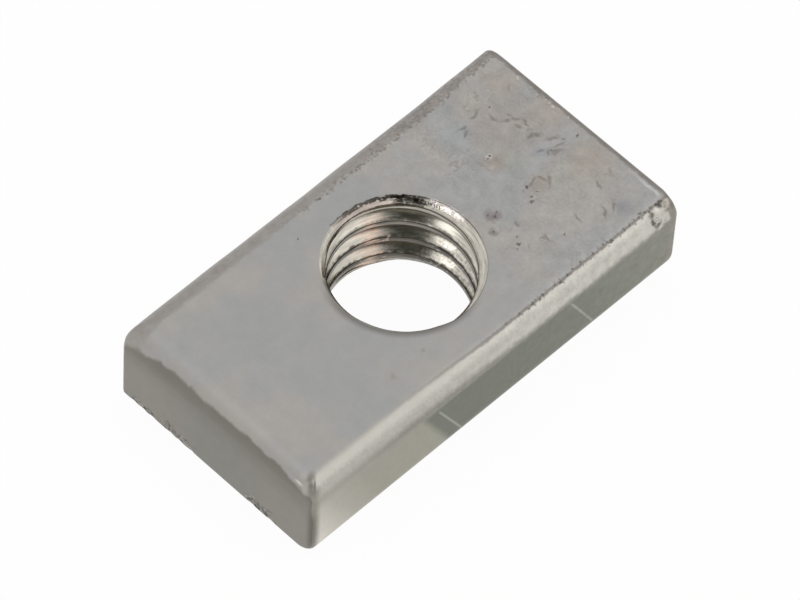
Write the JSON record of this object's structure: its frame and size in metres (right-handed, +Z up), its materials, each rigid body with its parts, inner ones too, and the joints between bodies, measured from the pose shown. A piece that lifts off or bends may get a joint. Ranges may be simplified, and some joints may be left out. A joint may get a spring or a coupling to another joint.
{
  "type": "threaded plate",
  "caption": "Short rectangular steel plate with rounded long edges and a central tapped through hole, used as a nut behind a slotted rail or channel.",
  "frame": {"origin": "middle of the lower face, on the axis of the tapped hole", "axes": "+X along the bar's length, +Y across its width, +Z up through the hole"},
  "size_m": [0.0226, 0.012, 0.005],
  "materials": {
    "zinc_plated_steel": "satin zinc plating, worn on the edges"
  },
  "bodies": {
    "root": {"threaded_plate": "zinc_plated_steel"}
  },
  "joints": []
}
